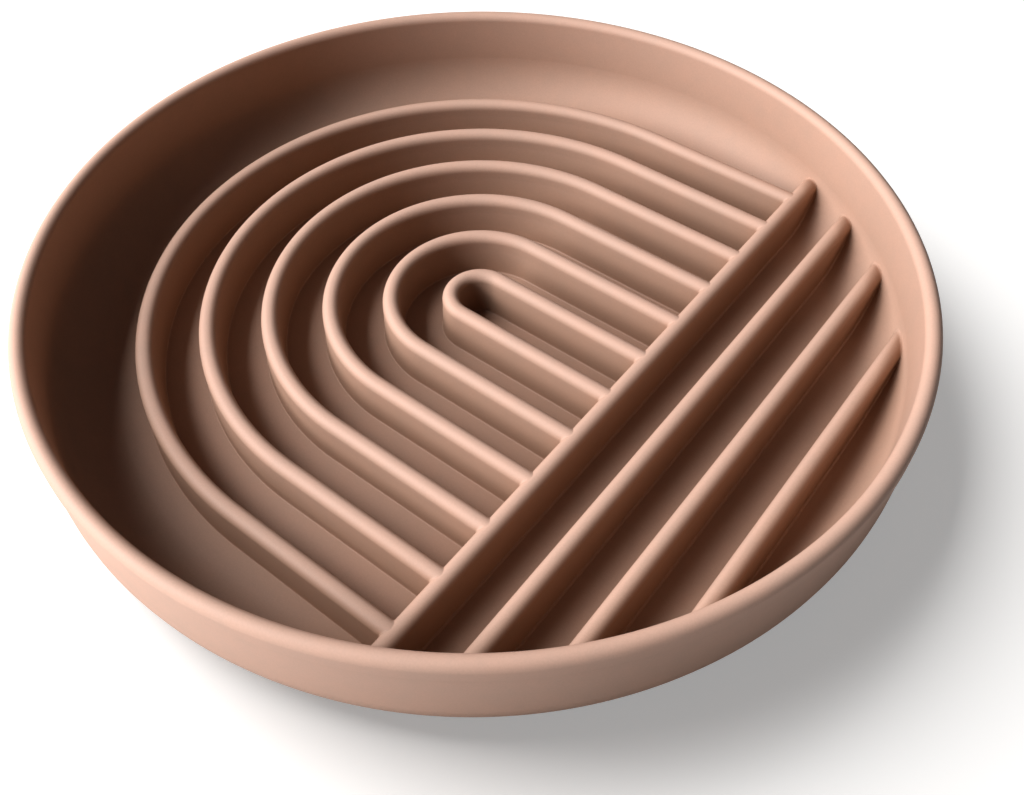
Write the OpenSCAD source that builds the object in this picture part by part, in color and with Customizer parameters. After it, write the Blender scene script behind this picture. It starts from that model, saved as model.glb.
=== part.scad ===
// Slow feeder bowl: a shallow round bowl with a maze of food channels.
// Six U-shaped ridges nest inside each other, their legs end on a straight
// divider, and three more straight ridges run parallel beyond it.
// Origin: centre of the base, on the surface that the bowl stands on. +Z is up.
// The legs of the arches run along +X, the divider and straight ridges along Y.

/* [Bowl] */
// Diameter across the rim
bowl_d = 220; // [208:1:250]
// Thickness of the side wall, which is also the width of the round rim
wall_t = 4; // [3:0.1:5]
// Thickness of the floor
floor_t = 4; // [3:0.1:6]
// How far the rim stands above the tops of the ridges
rim_rise = 15.5; // [12:0.5:30]
// Inside radius where the wall runs down into the floor
cove_r = 13; // [12.5:0.5:18]
// Outside radius at the bottom of the wall
corner_r = 12.5; // [8:0.5:20]
// Height of the rim band, down to the line left by the mould
band_h = 5; // [3:0.5:9]
// How far the rim band stands proud of the wall below it
band_step = 0.3; // [0.1:0.05:0.6]

/* [Ridges] */
// Gap from the wall to the middle of the largest arch, which sets the pitch
moat_w = 21.9; // [18:0.1:26]
// Height of the ridges above the floor
ridge_h = 12; // [8:0.5:13]
// Width across the top of a ridge
ridge_w = 4.4; // [3.6:0.1:5]
// Lean of the ridge sides, in degrees
ridge_draft = 2; // [1:0.5:4]
// Width of the flat strip left between the rounded edges of a ridge top
crown_flat = 0.2; // [0.1:0.05:1]
// Radius of the fillet at the foot of an arch
fillet_r = 0.5; // [0.4:0.1:1.2]
// How far the arches lie below the top of the divider
arch_drop = 0.15; // [0.1:0.05:0.5]

/* [Base] */
// Height of the floor's underside above the table
stand_h = 3.5; // [3:0.1:6]
// How far the moulded foot is set in from the edge of the bowl
foot_inset = 28; // [24:0.5:40]
// Width of the moulded foot
foot_w = 9; // [7:0.5:12]
// Width of the non-slip ring and of its groove
grip_w = 4.4; // [3:0.2:5]
// Thickness of the non-slip ring
grip_t = 2.8; // [2:0.1:2.9]
// How far the non-slip ring stands below the moulded foot
grip_proud = 1; // [0.5:0.1:1.5]
// Radius of the rounded edges of the foot and the non-slip ring
foot_edge_r = 0.6; // [0.3:0.1:1]

/* [Hidden] */

// Number of nested arches, the largest first
arches = 6;
// Steps of the pitch from the bowl's centre to the divider
divider_steps = 3;
// How much larger the foot fillet of a long ridge is than that of an arch
fillet_step = 0.1;
// Heights of the sharp lips that the foot fillets run out to, on an arch and
// on a long ridge
toe_lip = 0.1;
long_toe_lip = 0.15;
// How far a foot fillet's arc runs into the side of its ridge
fillet_lap = 0.02;
// Overrun of every cut
cut = 1;

bowl_r = bowl_d / 2;
rim_r = wall_t / 2;
inside_r = bowl_r - wall_t;
wall_r = bowl_r - band_step;
floor_z = stand_h + floor_t;
ridge_top_z = floor_z + ridge_h;
// Radius of the rounded edges along a ridge top
shoulder_r = (ridge_w - crown_flat) / 2;
bowl_h = ridge_top_z + rim_rise;
rim_z = bowl_h - rim_r;
band_z = bowl_h - band_h;
// Spacing of all the ridges, centre line to centre line
pitch = (inside_r - moat_w) / (arches - 1 / 2);
divider_x = divider_steps * pitch;
foot_r = bowl_r - foot_inset;
grip_in_r = foot_r - (foot_w + grip_w) / 2;
grip_out_r = grip_in_r + grip_w;

$fn = 96;
REVOLVE_FN = 240;

MAUVE = "#C9A290";
MAUVE_LIGHT = "#D9B3A1";
GRIP_GREY = "#6E5D55";

// Profiles, drawn with the radius along X and the height along Y

// A rectangle between two corners
module block(low, high) {
    translate(low) square(high - low);
}

// The space inside the bowl, from the floor to above the rim
module cavity_profile() {
    flat_r = inside_r - cove_r;
    cove_z = floor_z + cove_r;
    block([0, floor_z], [flat_r, bowl_h + cut]);
    block([0, cove_z], [inside_r, bowl_h + cut]);
    intersection() {
        translate([flat_r, cove_z]) circle(cove_r);
        block([flat_r, floor_z], [inside_r, cove_z]);
    }
}

// The solid bowl below the centre of the rim, with its rounded outer corner
module body_profile() {
    corner_x = wall_r - corner_r;
    corner_z = stand_h + corner_r;
    block([0, stand_h], [corner_x, rim_z]);
    block([0, corner_z], [wall_r, rim_z]);
    intersection() {
        translate([corner_x, corner_z]) circle(corner_r);
        block([corner_x, stand_h], [wall_r, corner_z]);
    }
}

// The band under the rim: it steps out over a sloping edge as high as the step
module band_profile() {
    polygon([[inside_r, band_z], [wall_r, band_z],
             [bowl_r, band_z + band_step], [bowl_r, rim_z], [inside_r, rim_z]]);
}

// A strip from one height to another, with its two lower edges rounded
module rounded_strip(in_r, out_r, low_z, high_z, edge_r) {
    block([in_r, low_z + edge_r], [out_r, high_z]);
    block([in_r + edge_r, low_z], [out_r - edge_r, low_z + edge_r]);
    for (x = [in_r + edge_r, out_r - edge_r])
        intersection() {
            translate([x, low_z + edge_r]) circle(edge_r);
            block([in_r, low_z], [out_r, low_z + edge_r]);
        }
}

// The wall's full section, with the round rim, the foot and its groove
module shell_profile() {
    difference() {
        union() {
            body_profile();
            band_profile();
            rounded_strip(foot_r - foot_w, foot_r, grip_proud,
                          stand_h + floor_t / 2, foot_edge_r);
        }
        cavity_profile();
        block([grip_in_r, -cut], [grip_out_r, grip_t]);
    }
    intersection() {
        translate([inside_r + rim_r, rim_z]) circle(rim_r);
        block([inside_r, rim_z], [bowl_r, bowl_h]);
    }
}

// Cross-section of a ridge, standing on Y = 0: an upright crown with rounded
// shoulders, drafted sides below it, and a fillet at each foot that runs out
// to a thin lip
module ridge_profile(height, toe_r, lip) {
    crown_x = ridge_w / 2;
    shoulder_x = crown_flat / 2;
    shoulder_y = height - shoulder_r;
    side_y = shoulder_y - shoulder_r;
    foot_x = crown_x + side_y * tan(ridge_draft);
    fillet_y = toe_r + lip;
    toe_x = crown_x + (side_y - fillet_y) * tan(ridge_draft)
            + toe_r - fillet_lap;
    block([-crown_x, 0], [crown_x, shoulder_y]);
    block([-shoulder_x, 0], [shoulder_x, height]);
    for (x = [-shoulder_x, shoulder_x])
        translate([x, shoulder_y]) circle(shoulder_r);
    polygon([[-foot_x, 0], [foot_x, 0], [crown_x, side_y], [-crown_x, side_y]]);
    difference() {
        block([-toe_x, 0], [toe_x, fillet_y]);
        for (x = [-toe_x, toe_x])
            translate([x, fillet_y]) circle(toe_r);
    }
}

// The space inside the bowl as a solid, which trims what reaches the wall
module cavity() {
    rotate_extrude($fn = REVOLVE_FN) cavity_profile();
}

// A straight ridge along Y, long enough to pass through the wall at both ends
module long_ridge(x) {
    translate([x, bowl_r, floor_z])
        rotate([90, 0, 0])
            linear_extrude(bowl_d)
                ridge_profile(ridge_h, fillet_r + fillet_step, long_toe_lip);
}

// A straight ridge from wall to wall, with its ends shaped by the cove
module wall_to_wall_ridge(x) {
    intersection() {
        long_ridge(x);
        cavity();
    }
}

// A half ring round the bowl's centre and two legs along X, up to the divider,
// one the mirror image of the other
module arch_path(radius) {
    height = ridge_h - arch_drop;
    translate([0, 0, floor_z]) {
        rotate([0, 0, 90])
            rotate_extrude(angle = 180, $fn = REVOLVE_FN)
                translate([radius, 0]) ridge_profile(height, fillet_r, toe_lip);
        for (side = [0, 1])
            mirror([0, side, 0])
                translate([0, radius, 0])
                    rotate([90, 0, 90])
                        linear_extrude(divider_x)
                            ridge_profile(height, fillet_r, toe_lip);
    }
}

// Sub-parts

module bowl_shell() {
    color(MAUVE) rotate_extrude($fn = REVOLVE_FN) shell_profile();
}

// Arch 1 is the largest; each leg ends against the side of the divider
module arch_ridge(number) {
    radius = (arches - number + 1 / 2) * pitch;
    color(MAUVE_LIGHT)
        difference() {
            intersection() {
                arch_path(radius);
                cavity();
            }
            long_ridge(divider_x);
        }
}

module divider_ridge() {
    color(MAUVE_LIGHT) wall_to_wall_ridge(divider_x);
}

// Straight ridge 1 is next to the divider, 3 is nearest the wall
module straight_ridge(number) {
    color(MAUVE_LIGHT) wall_to_wall_ridge(divider_x + number * pitch);
}

module non_slip_ring() {
    color(GRIP_GREY)
        rotate_extrude($fn = REVOLVE_FN)
            rounded_strip(grip_in_r, grip_out_r, 0, grip_t, foot_edge_r);
}

bowl_shell();
arch_ridge(1);  // arch_ridge_1
arch_ridge(2);  // arch_ridge_2
arch_ridge(3);  // arch_ridge_3
arch_ridge(4);  // arch_ridge_4
arch_ridge(5);  // arch_ridge_5
arch_ridge(6);  // arch_ridge_6
divider_ridge();
straight_ridge(1);  // straight_ridge_1
straight_ridge(2);  // straight_ridge_2
straight_ridge(3);  // straight_ridge_3
non_slip_ring();
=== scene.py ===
"""Looks of a slow feeder bowl: a shallow round pet bowl with a maze of ridges in its floor.

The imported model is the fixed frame. Each of its nodes is replaced by a piece of the same size, which
is spun or extruded from the section that a mould maker would draw. So every foot, shoulder and rim is
round, and each ridge runs into the divider and the wall over a small blend, as on the real moulding.
All sizes are in metres, written in millimetres times MM.
"""

import logging
import math
from abc import ABC, abstractmethod
from dataclasses import dataclass
from enum import Enum
from typing import Protocol, Sequence, Union

import bmesh
import bpy
from mathutils import Matrix, Vector


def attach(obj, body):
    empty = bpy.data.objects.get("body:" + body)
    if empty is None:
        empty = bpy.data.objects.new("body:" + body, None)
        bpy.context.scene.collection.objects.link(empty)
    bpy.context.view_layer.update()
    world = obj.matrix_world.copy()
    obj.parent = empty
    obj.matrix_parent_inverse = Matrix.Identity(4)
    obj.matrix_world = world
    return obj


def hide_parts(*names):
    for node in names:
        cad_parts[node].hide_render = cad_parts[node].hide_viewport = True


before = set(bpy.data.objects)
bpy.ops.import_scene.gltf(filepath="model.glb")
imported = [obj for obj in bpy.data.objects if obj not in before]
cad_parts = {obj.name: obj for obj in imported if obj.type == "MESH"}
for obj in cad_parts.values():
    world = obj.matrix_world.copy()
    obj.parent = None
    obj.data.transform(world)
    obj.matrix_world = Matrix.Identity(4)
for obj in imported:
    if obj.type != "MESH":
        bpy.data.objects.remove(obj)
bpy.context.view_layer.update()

LOG = logging.getLogger("slow_feeder_bowl")
MM = 0.001
FULL_TURN = 2 * math.pi
UP = Vector((0, 0, 1))
WHITE = (1.0, 1.0, 1.0, 1.0)
# Points this close together count as one
TOUCHING = 1e-7
# Range that holds nearly all the values of a noise pattern
NOISE_LOW, NOISE_HIGH = 0.3, 0.7

NodeValue = Union[float, Sequence[float], bpy.types.NodeSocket]


class Slot(Enum):
    """The record's material slots."""

    SHELL = "bowl_shell"
    RIDGES = "ridges"
    GRIP = "non_slip_ring"


@dataclass(frozen=True)
class BowlSizes:
    """Sizes of the bowl that its pieces share, as they are in the frame."""

    bowl_radius: float = 110 * MM
    wall: float = 4 * MM
    moat: float = 21.9 * MM
    cove_radius: float = 13 * MM
    corner_radius: float = 12.5 * MM
    band_height: float = 5 * MM
    band_step: float = 0.3 * MM
    floor: float = 4 * MM
    stand: float = 3.5 * MM
    rim_rise: float = 15.5 * MM
    ridge_height: float = 12 * MM
    arch_drop: float = 0.15 * MM
    foot_inset: float = 28 * MM
    foot_width: float = 9 * MM
    grip_width: float = 4.4 * MM
    grip_thickness: float = 2.8 * MM
    grip_proud: float = 1 * MM
    arches: int = 6
    divider_steps: int = 3
    # The divider and the straight ridges beyond it
    cross_ridges: int = 4

    @property
    def inside_radius(self) -> float:
        """Radius of the upright part of the wall, inside."""
        return self.bowl_radius - self.wall

    @property
    def wall_radius(self) -> float:
        """Radius of the wall outside, below the band."""
        return self.bowl_radius - self.band_step

    @property
    def pitch(self) -> float:
        """Spacing of the ridges, centre line to centre line."""
        return (self.inside_radius - self.moat) / (self.arches - 0.5)

    @property
    def floor_z(self) -> float:
        """Height of the floor that the ridges stand on."""
        return self.stand + self.floor

    @property
    def crest_z(self) -> float:
        """Height of the top of the divider and the straight ridges."""
        return self.floor_z + self.ridge_height

    @property
    def height(self) -> float:
        """Height of the whole bowl."""
        return self.crest_z + self.rim_rise

    @property
    def cove_z(self) -> float:
        """Height at which the cove meets the upright wall."""
        return self.floor_z + self.cove_radius

    @property
    def flat_radius(self) -> float:
        """Radius of the flat floor inside the cove."""
        return self.inside_radius - self.cove_radius

    @property
    def divider_x(self) -> float:
        """Place of the divider's centre line."""
        return self.divider_steps * self.pitch

    @property
    def foot_radius(self) -> float:
        """Outside radius of the foot."""
        return self.bowl_radius - self.foot_inset

    @property
    def grip_inner(self) -> float:
        """Inside radius of the non-slip ring, which is centred in the foot."""
        return self.foot_radius - (self.foot_width + self.grip_width) / 2

    @property
    def grip_outer(self) -> float:
        """Outside radius of the non-slip ring."""
        return self.grip_inner + self.grip_width

    def arch_radius(self, number: int) -> float:
        """Centre line radius of an arch.

        Args:
            number: 1 for the largest arch.

        Returns:
            The radius of its bend.
        """
        return (self.arches - number + 0.5) * self.pitch


@dataclass(frozen=True)
class Corner:
    """A corner of a section, across and up, and the radius that it is rounded to."""

    across: float
    up: float
    radius: float = 0.0

    @property
    def place(self) -> Vector:
        """The corner's place in the section's plane."""
        return Vector((self.across, self.up))


@dataclass(frozen=True)
class Section:
    """A section of a moulding: a path from corner to corner, with each corner rounded.

    Points held close to the ends of an arc keep the shading of the flats beside it level. A straight
    shorter than three times that distance gets none.
    """

    corners: Sequence[Corner]
    closed: bool = False
    arc_step: float = math.radians(7.5)
    hold: float = 0.12 * MM
    longest: float = math.inf

    def points(self) -> list[Vector]:
        """Draws the path.

        Returns:
            Its points in order, each given once.
        """
        arcs = [self._arc(index) for index in range(len(self.corners))]
        path: list[Vector] = []
        for index, arc in enumerate(arcs):
            path.extend(arc)
            following = index + 1
            if following == len(arcs) and not self.closed:
                break
            path.extend(self._straight(arc[-1], arcs[following % len(arcs)][0]))
        return self._without_doubles(path)

    def _arc(self, index: int) -> list[Vector]:
        """Rounds one corner.

        Args:
            index: the corner's place in the list.

        Returns:
            The points of its arc, or the corner itself where it is sharp.
        """
        corner = self.corners[index]
        last = len(self.corners) - 1
        if corner.radius == 0 or (not self.closed and index in (0, last)):
            return [corner.place]
        before = self.corners[index - 1].place
        after = self.corners[0 if index == last else index + 1].place
        way_in = (corner.place - before).normalized()
        way_out = (after - corner.place).normalized()
        turn = math.atan2(way_in.cross(way_out), way_in.dot(way_out))
        start = corner.place - way_in * (corner.radius * math.tan(abs(turn) / 2))
        inward = Vector((-way_in.y, way_in.x)) * math.copysign(corner.radius, turn)
        steps = max(2, math.ceil(abs(turn) / self.arc_step))
        turns = (Matrix.Rotation(turn * step / steps, 2) for step in range(steps + 1))
        return [start + inward - rotation @ inward for rotation in turns]

    def _straight(self, start: Vector, end: Vector) -> list[Vector]:
        """Points between two arcs: one close to each, and more where the straight is long.

        Args:
            start: where the first arc ends.
            end: where the next arc starts.

        Returns:
            The points between them, without the two ends.
        """
        way = end - start
        if way.length < 3 * self.hold:
            return []
        near, far = start + way.normalized() * self.hold, end - way.normalized() * self.hold
        pieces = max(1, math.ceil((far - near).length / self.longest))
        return [near.lerp(far, piece / pieces) for piece in range(pieces + 1)]

    @staticmethod
    def _without_doubles(path: list[Vector]) -> list[Vector]:
        """Drops points that lie on the one before.

        Args:
            path: the points in order.

        Returns:
            The points that are left.
        """
        kept = [path[0]]
        for point in path[1:]:
            if (point - kept[-1]).length > TOUCHING:
                kept.append(point)
        return kept


@dataclass(frozen=True)
class RidgeSection:
    """The section that all ridges share: drafted sides, round shoulders and a fillet at each foot."""

    crown_width: float = 4.4 * MM
    draft: float = math.radians(2)
    shoulder: float = 2.1 * MM
    fillet: float = 0.4 * MM
    sink: float = 0.02 * MM
    root: float = 0.3 * MM

    def half_width(self, depth: float) -> float:
        """Half of the ridge's width at a depth below its top.

        Args:
            depth: how far below the top.

        Returns:
            The half width there.
        """
        crown = self.crown_width / 2
        if depth >= self.shoulder:
            return crown + max(0.0, depth - 2 * self.shoulder) * math.tan(self.draft)
        rise = self.shoulder - max(depth, 0.0)
        return crown - self.shoulder + math.sqrt(self.shoulder**2 - rise**2)

    def section(self, floor_z: float, crest_z: float, longest: float, filleted: bool) -> Section:
        """Draws the section, from a little below the floor.

        Args:
            floor_z: height of the floor.
            crest_z: height of the ridge's top.
            longest: longest straight that is left whole.
            filleted: whether it has its foot fillets.

        Returns:
            The closed section, across and up.
        """
        foot = self.half_width(crest_z - floor_z)
        toe = foot + self.fillet
        base = floor_z - self.sink
        half = [Corner(foot, base - self.root)]
        if filleted:
            half = [Corner(toe, base - self.root), Corner(toe, base), Corner(foot, base, self.fillet)]
        half += [
            Corner(self.half_width(2 * self.shoulder), crest_z - 2 * self.shoulder),
            Corner(self.crown_width / 2, crest_z, self.shoulder),
        ]
        other = [Corner(-c.across, c.up, c.radius) for c in reversed(half)]
        return Section(half + other, closed=True, longest=longest)


class Neighbour(Protocol):
    """Something that a ridge runs into."""

    def clearance(self, point: Vector) -> float:
        """How far a point is from the surface, less than 0 behind it."""


@dataclass(frozen=True)
class BowlInside:
    """The inside of the bowl: its floor, cove and wall."""

    sizes: BowlSizes

    def clearance(self, point: Vector) -> float:
        """How far a point is from the bowl's inside.

        Args:
            point: a place in the bowl.

        Returns:
            The distance, less than 0 inside the floor or wall.
        """
        radius = math.hypot(point.x, point.y)
        if radius <= self.sizes.flat_radius:
            return point.z - self.sizes.floor_z
        if point.z >= self.sizes.cove_z:
            return self.sizes.inside_radius - radius
        across = radius - self.sizes.flat_radius
        return self.sizes.cove_radius - math.hypot(across, self.sizes.cove_z - point.z)


@dataclass(frozen=True)
class DividerFace:
    """The side of the divider that the legs of the arches run into."""

    sizes: BowlSizes
    ridge: RidgeSection

    def clearance(self, point: Vector) -> float:
        """How far a point is from the divider's side.

        Args:
            point: a place in the bowl.

        Returns:
            The distance along X, less than 0 inside the divider.
        """
        half = self.ridge.half_width(self.sizes.crest_z - point.z)
        return self.sizes.divider_x - half - point.x


@dataclass(frozen=True)
class Blend:
    """A small fillet where a ridge's sides run into a neighbour."""

    radius: float
    neighbour: Neighbour
    along: Vector

    def apply(self, mesh: bmesh.types.BMesh) -> None:
        """Swells the ridge's sides near the neighbour, level and square to the way that it runs.

        Args:
            mesh: the ridge, with its faces pointing outwards.
        """
        mesh.normal_update()
        for vert in mesh.verts:
            swell = self.swell(self.neighbour.clearance(vert.co))
            outward = vert.normal - self.along * vert.normal.dot(self.along)
            vert.co += Vector((outward.x, outward.y, 0)) * swell

    def swell(self, gap: float) -> float:
        """How far a fillet stands out from one of its two walls.

        Args:
            gap: distance from the other wall.

        Returns:
            The distance, 0 beyond the fillet.
        """
        reach = self.radius - min(max(gap, 0.0), self.radius)
        return self.radius - math.sqrt(self.radius**2 - reach**2)


@dataclass(frozen=True)
class RunOut:
    """The end of a straight ridge: its top sinks towards the wall, then blends into it."""

    sizes: BowlSizes
    blend: Blend
    length: float = 7 * MM
    share: float = 0.13

    def apply(self, mesh: bmesh.types.BMesh) -> None:
        """Shapes both ends of a ridge.

        Args:
            mesh: the ridge, with its faces pointing outwards.
        """
        for vert in mesh.verts:
            gap = self.sizes.inside_radius - math.hypot(vert.co.x, vert.co.y)
            near = min(max(1 - gap / self.length, 0.0), 1.0)
            vert.co.z -= max(vert.co.z - self.sizes.floor_z, 0.0) * self.share * near**2
        self.blend.apply(mesh)
        mesh.normal_update()
        for vert in mesh.verts:
            swell = self.blend.swell(self.blend.neighbour.clearance(vert.co))
            vert.co.z += max(vert.normal.z, 0.0) * swell


def direction(bearing: float, height: float) -> Vector:
    """Finds the way from the bowl to a lamp or camera.

    Args:
        bearing: angle from +X towards +Y.
        height: angle above the floor.

    Returns:
        A vector 1 long.
    """
    level = math.cos(height)
    return Vector((math.cos(bearing) * level, math.sin(bearing) * level, math.sin(height)))


def mesh_data(mesh: bmesh.types.BMesh, name: str) -> bpy.types.Mesh:
    """Turns a finished bmesh into mesh data, and frees it.

    Args:
        mesh: the bmesh.
        name: the data's name.

    Returns:
        The mesh data.
    """
    data = bpy.data.meshes.new(name)
    mesh.to_mesh(data)
    mesh.free()
    return data


def add_object(data: bpy.types.ID) -> bpy.types.Object:
    """Puts a mesh, lamp or camera in the scene, as an object of the same name.

    Args:
        data: what the object shows or is.

    Returns:
        The object, at the origin.
    """
    made = bpy.data.objects.new(data.name, data)
    bpy.context.scene.collection.objects.link(made)
    return made


def srgb_to_linear(hex_colour: str) -> tuple[float, float, float, float]:
    """Turns an sRGB hex colour into linear light.

    Args:
        hex_colour: six hex digits after a hash sign.

    Returns:
        Red, green, blue and an alpha of 1.
    """
    shares = [int(hex_colour[place:place + 2], 16) / 255 for place in (1, 3, 5)]
    red, green, blue = (s / 12.92 if s <= 0.04045 else ((s + 0.055) / 1.055) ** 2.4 for s in shares)
    return red, green, blue, 1.0


def add_node(tree: bpy.types.NodeTree, kind: str, inputs: dict[Union[str, int], NodeValue] | None = None,
             **settings: object) -> bpy.types.Node:
    """Adds a node with its settings and links.

    Args:
        tree: the tree that it goes into.
        kind: the node's type name.
        inputs: a value or another node's output for each named or numbered input.
        **settings: the node's own properties.

    Returns:
        The new node.
    """
    node = tree.nodes.new(kind)
    for name, setting in settings.items():
        setattr(node, name, setting)
    for key, value in (inputs or {}).items():
        if isinstance(value, bpy.types.NodeSocket):
            tree.links.new(value, node.inputs[key])
        else:
            node.inputs[key].default_value = value
    return node


def empty_tree(owner: Union[bpy.types.Material, bpy.types.World]) -> bpy.types.NodeTree:
    """Gives a material or a world an empty node tree.

    Args:
        owner: the material or world.

    Returns:
        Its tree.
    """
    owner.use_nodes = True
    owner.node_tree.nodes.clear()
    return owner.node_tree


def add_noise(tree: bpy.types.NodeTree, place: bpy.types.NodeSocket, size: float, detail: float,
              roughness: float = 0.5) -> bpy.types.NodeSocket:
    """Adds a noise pattern.

    Args:
        tree: the tree that it goes into.
        place: the coordinates that it lies on.
        size: about how large its blotches are.
        detail: how many finer layers it has.
        roughness: how strong the finer layers are.

    Returns:
        The pattern's value.
    """
    return add_node(tree, "ShaderNodeTexNoise", {
        "Vector": place, "Scale": 1 / size, "Detail": detail, "Roughness": roughness}).outputs[0]


def mix_colours(tree: bpy.types.NodeTree, share: bpy.types.NodeSocket, first: Sequence[float],
                second: Sequence[float]) -> bpy.types.NodeSocket:
    """Adds a mix of two colours. The Mix node numbers its colour sockets 6 and 7, and its mixed colour 2.

    Args:
        tree: the tree that it goes into.
        share: the share of the second colour.
        first: the colour where the share is 0.
        second: the colour where the share is 1.

    Returns:
        The mixed colour.
    """
    return add_node(tree, "ShaderNodeMix", {"Factor": share, 6: first, 7: second},
                    data_type="RGBA").outputs[2]


@dataclass(frozen=True)
class MattMoulding:
    """Matt moulded plastic with a soft touch, like fine unglazed clay.

    The mould is blasted, so the surface has a fine even grain and only a broad, soft shine. The filled
    compound is stirred by its flow into the mould, so its colour is faintly cloudy over a few centimetres.
    Light that has already bounced in the bowl is dimmed and browned: between the ridges the photograph's
    Shade is painted into the colour as well: narrow recesses are darkened and browned by how closed in they
    are, and light that has already bounced in the bowl is dimmed and browned, so the shade between the
    ridges is deeper and warmer than the colour alone gives.
    """

    name: str = "matt_moulded_plastic"
    warm: str = "#D5AB97"
    cool: str = "#D0A996"
    cloud_size: float = 22 * MM
    mottle_size: float = 5 * MM
    cloud_low: float = 0.75
    cloud_high: float = 1.25
    # The blasted grain is about 0.1 mm; it is drawn coarser, or it wouldn't show
    grain_size: float = 0.45 * MM
    grain_height: float = 0.012 * MM
    grain_shade: float = 0.06
    # Painted shade: the colour is darkened and browned in narrow recesses, by how closed in they are within
    # this reach
    painted_shade_reach: float = 37 * MM
    painted_shade_samples: int = 8
    painted_shade_tint: str = "#B0A696"
    # Painted shade: light that has already bounced sees the colour dimmed and browned, which deepens the
    # shade
    bounce_tint: str = "#EDE1CB"
    roughness: float = 0.62
    roughness_spread: float = 0.08
    ior: float = 1.46

    def build(self) -> bpy.types.Material:
        """Makes the material.

        Returns:
            The material, with all its patterns on Object coordinates.
        """
        material = bpy.data.materials.new(self.name)
        tree = empty_tree(material)
        place = add_node(tree, "ShaderNodeTexCoord").outputs["Object"]
        cloud = add_noise(tree, place, self.cloud_size, detail=3.0, roughness=0.55)
        mottle = add_noise(tree, place, self.mottle_size, detail=2.0)
        grain = add_noise(tree, place, self.grain_size, detail=2.0, roughness=0.6)
        clouds = add_node(tree, "ShaderNodeMath", {0: cloud, 1: mottle}, operation="ADD")
        cloudy = add_node(tree, "ShaderNodeMapRange", {
            "Value": clouds.outputs[0], "From Min": self.cloud_low, "From Max": self.cloud_high})
        body = mix_colours(tree, cloudy.outputs[0], srgb_to_linear(self.warm), srgb_to_linear(self.cool))
        pits = add_node(tree, "ShaderNodeMapRange", {
            "Value": grain, "From Min": NOISE_LOW, "From Max": NOISE_HIGH,
            "To Min": 1 - self.grain_shade, "To Max": 1.0})
        # The body colour times the painted shade of recesses and of bounced light
        body_with_painted_shade = add_node(tree, "ShaderNodeVectorMath", {
            0: body, 1: self._shade(tree)}, operation="MULTIPLY")
        shaded = add_node(tree, "ShaderNodeVectorMath", {
            0: body_with_painted_shade.outputs[0], "Scale": pits.outputs[0]}, operation="SCALE")
        rough = add_node(tree, "ShaderNodeMapRange", {
            "Value": grain,
            "To Min": self.roughness - self.roughness_spread,
            "To Max": self.roughness + self.roughness_spread})
        bump = add_node(tree, "ShaderNodeBump", {
            "Height": grain, "Strength": 1.0, "Distance": self.grain_height})
        surface = add_node(tree, "ShaderNodeBsdfPrincipled", {
            "Base Color": shaded.outputs[0], "Roughness": rough.outputs[0], "IOR": self.ior,
            "Normal": bump.outputs[0]})
        add_node(tree, "ShaderNodeOutputMaterial", {"Surface": surface.outputs[0]})
        return material

    def _shade(self, tree: bpy.types.NodeTree) -> bpy.types.NodeSocket:
        """Works out the painted shade: how much narrow recesses and light that has bounced are dimmed and
        browned.

        Args:
            tree: the material's tree.

        Returns:
            The shares of red, green and blue that are left, from 0 to 1.
        """
        painted_shade_mask = add_node(tree, "ShaderNodeAmbientOcclusion", {"Distance": self.painted_shade_reach},
                            samples=self.painted_shade_samples).outputs["AO"]
        again = add_node(tree, "ShaderNodeLightPath").outputs["Is Diffuse Ray"]
        painted_recess_shade = mix_colours(tree, painted_shade_mask, srgb_to_linear(self.painted_shade_tint), WHITE)
        bounced = mix_colours(tree, again, WHITE, srgb_to_linear(self.bounce_tint))
        return add_node(tree, "ShaderNodeVectorMath", {0: painted_recess_shade, 1: bounced},
                        operation="MULTIPLY").outputs[0]


@dataclass(frozen=True)
class GripElastomer:
    """Moulded thermoplastic elastomer: soft, dead matt and a little dusty."""

    name: str = "moulded_elastomer"
    colour: str = "#6E5D55"
    dusty: str = "#85756C"
    dust_size: float = 3 * MM
    dust_low: float = 0.4
    dust_high: float = 0.7
    grain_size: float = 0.4 * MM
    grain_height: float = 0.02 * MM
    roughness: float = 0.85
    ior: float = 1.48

    def build(self) -> bpy.types.Material:
        """Makes the material.

        Returns:
            The material, with all its patterns on Object coordinates.
        """
        material = bpy.data.materials.new(self.name)
        tree = empty_tree(material)
        place = add_node(tree, "ShaderNodeTexCoord").outputs["Object"]
        dust = add_noise(tree, place, self.dust_size, detail=4.0)
        grain = add_noise(tree, place, self.grain_size, detail=2.0)
        dusty = add_node(tree, "ShaderNodeMapRange", {
            "Value": dust, "From Min": self.dust_low, "From Max": self.dust_high})
        body = mix_colours(tree, dusty.outputs[0], srgb_to_linear(self.colour), srgb_to_linear(self.dusty))
        bump = add_node(tree, "ShaderNodeBump", {
            "Height": grain, "Strength": 1.0, "Distance": self.grain_height})
        surface = add_node(tree, "ShaderNodeBsdfPrincipled", {
            "Base Color": body, "Roughness": self.roughness, "IOR": self.ior,
            "Normal": bump.outputs[0]})
        add_node(tree, "ShaderNodeOutputMaterial", {"Surface": surface.outputs[0]})
        return material


@dataclass
class MouldedPiece(ABC):
    """A piece of the bowl that stands for one node of the frame."""

    sizes: BowlSizes
    material: bpy.types.Material

    @property
    @abstractmethod
    def node(self) -> str:
        """The node that the piece stands for."""

    @property
    @abstractmethod
    def slot(self) -> Slot:
        """The piece's material slot in the record."""

    @abstractmethod
    def shape(self, mesh: bmesh.types.BMesh) -> None:
        """Builds the piece's surface.

        Args:
            mesh: the empty mesh to build it in.
        """

    def make(self) -> bpy.types.Object:
        """Returns:
            The finished object, at the origin.
        """
        mesh = bmesh.new()
        self.shape(mesh)
        bmesh.ops.recalc_face_normals(mesh, faces=mesh.faces)
        data = mesh_data(mesh, f"{self.node}_moulded")
        data.shade_smooth()
        data.materials.append(self.material)
        piece = add_object(data)
        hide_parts(self.node)
        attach(piece, "root")
        self.slot.value
        return piece


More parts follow.
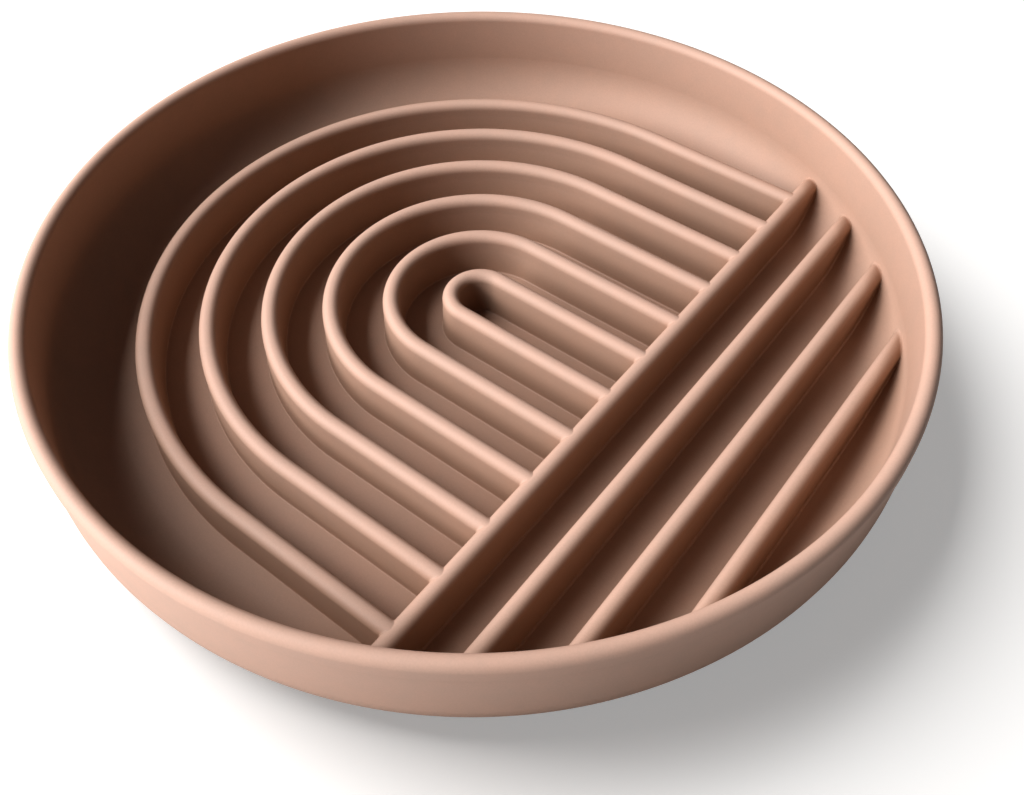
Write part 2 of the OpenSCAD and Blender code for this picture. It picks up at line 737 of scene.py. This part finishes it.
def spin_profile(mesh: bmesh.types.BMesh, points: Sequence[Vector], closed: bool, steps: int) -> None:
    """Spins a section all the way round the Z axis.

    Args:
        mesh: the mesh to build in.
        points: the section's points, by radius and height.
        closed: whether the last point joins the first.
        steps: how many steps make the full turn.
    """
    verts = [mesh.verts.new((point.x, 0, point.y)) for point in points]
    pairs = list(zip(verts, verts[1:]))
    if closed:
        pairs.append((verts[-1], verts[0]))
    edges = [mesh.edges.new(pair) for pair in pairs]
    bmesh.ops.spin(mesh, geom=verts + edges, cent=(0, 0, 0), axis=UP, dvec=(0, 0, 0), angle=FULL_TURN,
                   space=Matrix.Identity(4), steps=steps, use_merge=True, use_normal_flip=False,
                   use_duplicate=False)
    bmesh.ops.remove_doubles(mesh, verts=mesh.verts, dist=0.001 * MM)


@dataclass
class BowlShell(MouldedPiece):
    """The bowl itself: floor, cove, wall, round rim with its band, outer corner and foot."""

    edge: float = 0.6 * MM
    crease: float = 0.15 * MM
    steps: int = 288

    @property
    def node(self) -> str:
        """The node that the piece stands for."""
        return "bowl_shell"

    @property
    def slot(self) -> Slot:
        """The piece's material slot in the record."""
        return Slot.SHELL

    def shape(self, mesh: bmesh.types.BMesh) -> None:
        """Spins the wall's section.

        Args:
            mesh: the empty mesh to build it in.
        """
        s = self.sizes
        rim = s.wall / 2
        band_z = s.height - s.band_height
        corners = [
            Corner(0, s.floor_z),
            Corner(s.inside_radius, s.floor_z, s.cove_radius),
            Corner(s.inside_radius, s.height, rim),
            Corner(s.bowl_radius, s.height, rim),
            Corner(s.bowl_radius, band_z + s.band_step, self.crease),
            Corner(s.wall_radius, band_z, self.crease),
            Corner(s.wall_radius, s.stand, s.corner_radius),
            Corner(s.foot_radius, s.stand, self.edge),
            Corner(s.foot_radius, s.grip_proud, self.edge),
            Corner(s.grip_outer, s.grip_proud, self.crease),
            Corner(s.grip_outer, s.grip_thickness, self.crease),
            Corner(s.grip_inner, s.grip_thickness, self.crease),
            Corner(s.grip_inner, s.grip_proud, self.crease),
            Corner(s.foot_radius - s.foot_width, s.grip_proud, self.edge),
            Corner(s.foot_radius - s.foot_width, s.stand, self.edge),
            Corner(0, s.stand),
        ]
        spin_profile(mesh, Section(corners).points(), closed=False, steps=self.steps)


@dataclass
class Ridge(MouldedPiece):
    """A ridge of the maze, swept along its path from the shared section."""

    profile: RidgeSection

    @property
    def slot(self) -> Slot:
        """The piece's material slot in the record."""
        return Slot.RIDGES

    def section_loop(self, mesh: bmesh.types.BMesh, section: Section,
                     place: Matrix) -> list[bmesh.types.BMEdge]:
        """Draws the closed section at the start of the path.

        Args:
            mesh: the mesh to draw in.
            section: the ridge's section.
            place: carries the section, drawn across X and up Z, to its place.

        Returns:
            The edges of the loop.
        """
        points = section.points()
        verts = [mesh.verts.new(place @ Vector((point.x, 0, point.y))) for point in points]
        pairs = zip(verts, verts[1:] + verts[:1])
        return [mesh.edges.new(pair) for pair in pairs]

    @staticmethod
    def extrude(mesh: bmesh.types.BMesh, loop: list[bmesh.types.BMEdge],
                way: Vector) -> list[bmesh.types.BMEdge]:
        """Sweeps a loop one step along a straight.

        Args:
            mesh: the mesh that it is in.
            loop: the loop's edges.
            way: the step.

        Returns:
            The edges of the loop at the far end.
        """
        made = bmesh.ops.extrude_edge_only(mesh, edges=loop)["geom"]
        verts = [item for item in made if isinstance(item, bmesh.types.BMVert)]
        bmesh.ops.translate(mesh, verts=verts, vec=way)
        moved = set(verts)
        return [item for item in made
                if isinstance(item, bmesh.types.BMEdge) and moved.issuperset(item.verts)]

    @staticmethod
    def close(mesh: bmesh.types.BMesh) -> None:
        """Closes the open ends and turns all faces outwards.

        Args:
            mesh: the mesh to close.
        """
        rims = [edge for edge in mesh.edges if edge.is_boundary]
        bmesh.ops.holes_fill(mesh, edges=rims, sides=0)
        bmesh.ops.recalc_face_normals(mesh, faces=mesh.faces)


@dataclass
class ArchRidge(Ridge):
    """A U-shaped ridge: half a turn round the bowl's centre and two legs up to the divider."""

    number: int = 1
    longest: float = 2 * MM
    arc_length: float = 1.6 * MM
    near_divider: float = 9 * MM
    coarse_shares: tuple[float, ...] = (1.0, 0.6, 0.3, 0.1)
    fine_step: float = 0.2 * MM
    spare_steps: int = 2
    fewest_steps: int = 32
    blend_radius: float = 0.35 * MM

    @property
    def node(self) -> str:
        """The node that the piece stands for."""
        return f"arch_ridge_{self.number}"

    def stops(self) -> list[float]:
        """Places along a leg: far apart up to the divider, then close together to its middle.

        Returns:
            Distances from the bend's end, in order.
        """
        end = self.sizes.divider_x
        fine_length = self.profile.crown_width / 2 + self.blend_radius + self.spare_steps * self.fine_step
        count = math.ceil(fine_length / self.fine_step)
        fine = [end - fine_length * (1 - step / count) for step in range(count + 1)]
        coarse = [fine[0] - self.near_divider * share for share in self.coarse_shares]
        return coarse + fine

    def shape(self, mesh: bmesh.types.BMesh) -> None:
        """Sweeps the section along one leg, round the bend and along the other leg.

        Args:
            mesh: the empty mesh to build it in.
        """
        s = self.sizes
        radius = s.arch_radius(self.number)
        section = self.profile.section(s.floor_z, s.crest_z - s.arch_drop, self.longest, filleted=True)
        stops = self.stops()
        place = Matrix.Translation((stops[-1], -radius, 0)) @ Matrix.Rotation(math.pi / 2, 4, UP)
        loop = self.section_loop(mesh, section, place)
        for near, far in zip(reversed(stops), reversed([0.0] + stops[:-1])):
            loop = self.extrude(mesh, loop, Vector((far - near, 0, 0)))
        steps = max(self.fewest_steps, math.ceil(math.pi * radius / self.arc_length))
        verts = list({vert for edge in loop for vert in edge.verts})
        spun = bmesh.ops.spin(mesh, geom=verts + loop, cent=(0, 0, 0), axis=-UP, dvec=(0, 0, 0),
                              angle=math.pi, space=Matrix.Identity(4), steps=steps, use_merge=False,
                              use_normal_flip=False, use_duplicate=False)["geom_last"]
        loop = [item for item in spun if isinstance(item, bmesh.types.BMEdge)]
        for near, far in zip([0.0] + stops[:-1], stops):
            loop = self.extrude(mesh, loop, Vector((far - near, 0, 0)))
        self.close(mesh)
        Blend(self.blend_radius, DividerFace(s, self.profile), Vector((1, 0, 0))).apply(mesh)


@dataclass
class CrossRidge(Ridge):
    """A straight ridge along Y from wall to wall."""

    steps_past_divider: int = 0
    longest: float = 0.15 * MM
    fine_step: float = 0.4 * MM
    blend_radius: float = 0.5 * MM
    cove_margin: float = 2 * MM
    overrun: float = 3 * MM
    wall_floor_radius: float = 101 * MM
    wall_crest_radius: float = 107.9 * MM

    @property
    def node(self) -> str:
        """The node that the piece stands for."""
        return f"straight_ridge_{self.steps_past_divider}" if self.steps_past_divider else "divider_ridge"

    @property
    def x(self) -> float:
        """Place of the ridge's centre line."""
        return self.sizes.divider_x + self.steps_past_divider * self.sizes.pitch

    def shape(self, mesh: bmesh.types.BMesh) -> None:
        """Sweeps the section from inside one wall to inside the other, in fine steps over the coves.

        Args:
            mesh: the empty mesh to build it in.
        """
        s = self.sizes
        toe = self.x + self.profile.crown_width
        cove_y = math.sqrt(max(0.0, (s.flat_radius - self.cove_margin) ** 2 - toe**2))
        end_y = math.sqrt(self.wall_crest_radius**2 - self.x**2) + self.overrun
        count = math.ceil((end_y - cove_y) / self.fine_step)
        upper = [cove_y + (end_y - cove_y) * step / count for step in range(count + 1)]
        stops = [-y for y in reversed(upper)] + [y for y in upper if y > 0]
        section = self.profile.section(s.floor_z, s.crest_z, self.longest, filleted=False)
        loop = self.section_loop(mesh, section, Matrix.Translation((self.x, stops[0], 0)))
        for near, far in zip(stops, stops[1:]):
            loop = self.extrude(mesh, loop, Vector((0, far - near, 0)))
        self.close(mesh)
        RunOut(s, Blend(self.blend_radius, BowlInside(s), Vector((0, 1, 0)))).apply(mesh)
        self._trim(mesh)

    def _trim(self, mesh: bmesh.types.BMesh) -> None:
        """Cuts both ends off inside the wall, on planes that lean as the wall does.

        Args:
            mesh: the swept ridge.
        """
        s = self.sizes
        middle = (self.wall_floor_radius + self.wall_crest_radius) / 2
        bearing = math.acos(self.x / middle)
        rise, run = s.ridge_height, self.wall_crest_radius - self.wall_floor_radius
        for side in (1, -1):
            outward = Vector((math.cos(bearing), side * math.sin(bearing), 0))
            point = outward * self.wall_floor_radius + UP * s.floor_z
            plane = outward * rise - UP * run
            bmesh.ops.bisect_plane(mesh, geom=mesh.verts[:] + mesh.edges[:] + mesh.faces[:], dist=TOUCHING,
                                   plane_co=point, plane_no=plane.normalized(), clear_outer=True)
        self.close(mesh)


@dataclass
class NonSlipRing(MouldedPiece):
    """The ring that the bowl stands on, pressed into the groove of the foot."""

    edge: float = 0.6 * MM
    crease: float = 0.1 * MM
    steps: int = 192

    @property
    def node(self) -> str:
        """The node that the piece stands for."""
        return "non_slip_ring"

    @property
    def slot(self) -> Slot:
        """The piece's material slot in the record."""
        return Slot.GRIP

    def shape(self, mesh: bmesh.types.BMesh) -> None:
        """Spins the ring's section.

        Args:
            mesh: the empty mesh to build it in.
        """
        s = self.sizes
        corners = [
            Corner(s.grip_inner, 0, self.edge),
            Corner(s.grip_outer, 0, self.edge),
            Corner(s.grip_outer, s.grip_thickness, self.crease),
            Corner(s.grip_inner, s.grip_thickness, self.crease),
        ]
        spin_profile(mesh, Section(corners, closed=True).points(), closed=True, steps=self.steps)


@dataclass(frozen=True)
class SoftBox:
    """An area lamp that points at the bowl. Its level is the light on a surface that faces it."""

    name: str
    bearing: float
    height: float
    width: float
    length: float
    level: float
    distance: float = 1.4

    def hang(self, lit: bpy.types.Collection) -> None:
        """Makes the lamp and puts it in its place.

        Args:
            lit: the objects that it lights.
        """
        data = bpy.data.lights.new(self.name, "AREA")
        data.shape = "RECTANGLE"
        data.size = self.width
        data.size_y = self.length
        # One pi is for the lamp's glow, which is even to all sides, and one for a matt surface's reflection
        data.energy = self.level * math.pi**2 * self.distance**2
        lamp = add_object(data)
        way = direction(self.bearing, self.height)
        lamp.location = way * self.distance
        lamp.rotation_euler = way.to_track_quat("Z", "Y").to_euler()
        lamp.light_linking.receiver_collection = lit


@dataclass(frozen=True)
class Studio:
    """A plain pale floor, soft boxes and the photograph's camera.

    The bowl has a large soft box from the left and a small weak one. The floor has one of its own,
    because its shadow falls another way in the photograph.
    """

    key: SoftBox = SoftBox("key_soft_box", bearing=math.radians(221), height=math.radians(36),
                           width=1.05, length=1.26, level=2.05)
    fill: SoftBox = SoftBox("small_soft_box", bearing=math.radians(245), height=math.radians(30),
                            width=0.28, length=0.28, level=0.25)
    ground: SoftBox = SoftBox("floor_soft_box", bearing=math.radians(194), height=math.radians(50),
                              width=1.0, length=1.0, level=1.6)
    sky_level: float = 0.031
    floor_size: float = 6.0
    floor_colour: str = "#EDEBE9"
    shadow_lift: float = 0.33
    aim: tuple[float, float, float] = (27.36 * MM, -22.32 * MM, 18.6 * MM)
    camera_distance: float = 238.31 * MM
    # The camera's bearing is that of the picture's right side
    camera_bearing: float = math.radians(37.08)
    camera_height: float = math.radians(50.354)
    camera_roll: float = math.radians(0.665)
    camera_near: float = 10 * MM
    camera_far: float = 20.0
    photo_width: int = 1024
    focal_pixels: float = 1014.64
    sensor: float = 36.0

    def build(self, pieces: Sequence[bpy.types.Object]) -> None:
        """Sets up the floor, the lamps, the sky and the camera.

        Args:
            pieces: the bowl's pieces.
        """
        bowl, floor = (bpy.data.collections.new(name) for name in ("lit_bowl", "lit_floor"))
        for piece in pieces:
            bowl.objects.link(piece)
        floor.objects.link(self._floor())
        self.key.hang(bowl)
        self.fill.hang(bowl)
        self.ground.hang(floor)
        self._sky()
        self._camera()
        bpy.context.scene.view_settings.view_transform = "Standard"

    def _floor(self) -> bpy.types.Object:
        """Lays the floor. The camera sees its shadow lifted, as in the photograph."""
        mesh = bmesh.new()
        bmesh.ops.create_grid(mesh, x_segments=1, y_segments=1, size=self.floor_size / 2)
        floor = add_object(mesh_data(mesh, "studio_floor"))
        material = bpy.data.materials.new("studio_paper")
        tree = empty_tree(material)
        paper = add_node(tree, "ShaderNodeBsdfDiffuse", {"Color": srgb_to_linear(self.floor_colour)})
        lift = add_node(tree, "ShaderNodeEmission", {"Strength": self.shadow_lift})
        both = add_node(tree, "ShaderNodeAddShader", {0: paper.outputs[0], 1: lift.outputs[0]})
        seen = add_node(tree, "ShaderNodeLightPath").outputs["Is Camera Ray"]
        mixed = add_node(tree, "ShaderNodeMixShader", {0: seen, 1: paper.outputs[0], 2: both.outputs[0]})
        add_node(tree, "ShaderNodeOutputMaterial", {"Surface": mixed.outputs[0]})
        floor.data.materials.append(material)
        return floor

    def _sky(self) -> None:
        """Lights all round with a weak pale sky, which the camera sees as white."""
        world = bpy.data.worlds.new("studio_sky")
        tree = empty_tree(world)
        seen = add_node(tree, "ShaderNodeLightPath").outputs["Is Camera Ray"]
        level = add_node(tree, "ShaderNodeMapRange", {
            "Value": seen, "To Min": self.sky_level, "To Max": 1.0})
        sky = add_node(tree, "ShaderNodeBackground", {"Color": WHITE, "Strength": level.outputs[0]})
        add_node(tree, "ShaderNodeOutputWorld", {"Surface": sky.outputs[0]})
        bpy.context.scene.world = world

    def _camera(self) -> None:
        """Places the camera as it was fitted to the ridges, the rim and the outline."""
        data = bpy.data.cameras.new("photo_camera")
        data.sensor_width = self.sensor
        data.sensor_fit = "HORIZONTAL"
        data.lens = self.focal_pixels / self.photo_width * self.sensor
        data.clip_start = self.camera_near
        data.clip_end = self.camera_far
        camera = add_object(data)
        back = direction(self.camera_bearing - math.pi / 2, self.camera_height)
        right = direction(self.camera_bearing, 0.0)
        turn = Matrix((right, back.cross(right), back)).transposed()
        roll = Matrix.Rotation(self.camera_roll, 3, "Z")
        place = Matrix.Translation(Vector(self.aim) + back * self.camera_distance)
        camera.matrix_world = place @ (turn @ roll).to_4x4()
        bpy.context.scene.camera = camera


def main() -> None:
    """Builds the bowl piece by piece, then the studio round it."""
    logging.basicConfig(level=logging.INFO, format="%(name)s: %(message)s")
    sizes = BowlSizes()
    profile = RidgeSection()
    moulding = MattMoulding().build()
    pieces: list[MouldedPiece] = [BowlShell(sizes, moulding)]
    pieces += [ArchRidge(sizes, moulding, profile, number=n) for n in range(1, sizes.arches + 1)]
    pieces += [CrossRidge(sizes, moulding, profile, steps_past_divider=n)
               for n in range(sizes.cross_ridges)]
    pieces.append(NonSlipRing(sizes, GripElastomer().build()))
    made: list[bpy.types.Object] = []
    for piece in pieces:
        made.append(piece.make())
        LOG.info("%s: %d faces", made[-1].name, len(made[-1].data.polygons))
    Studio().build(made)


if __name__ == "__main__":
    main()
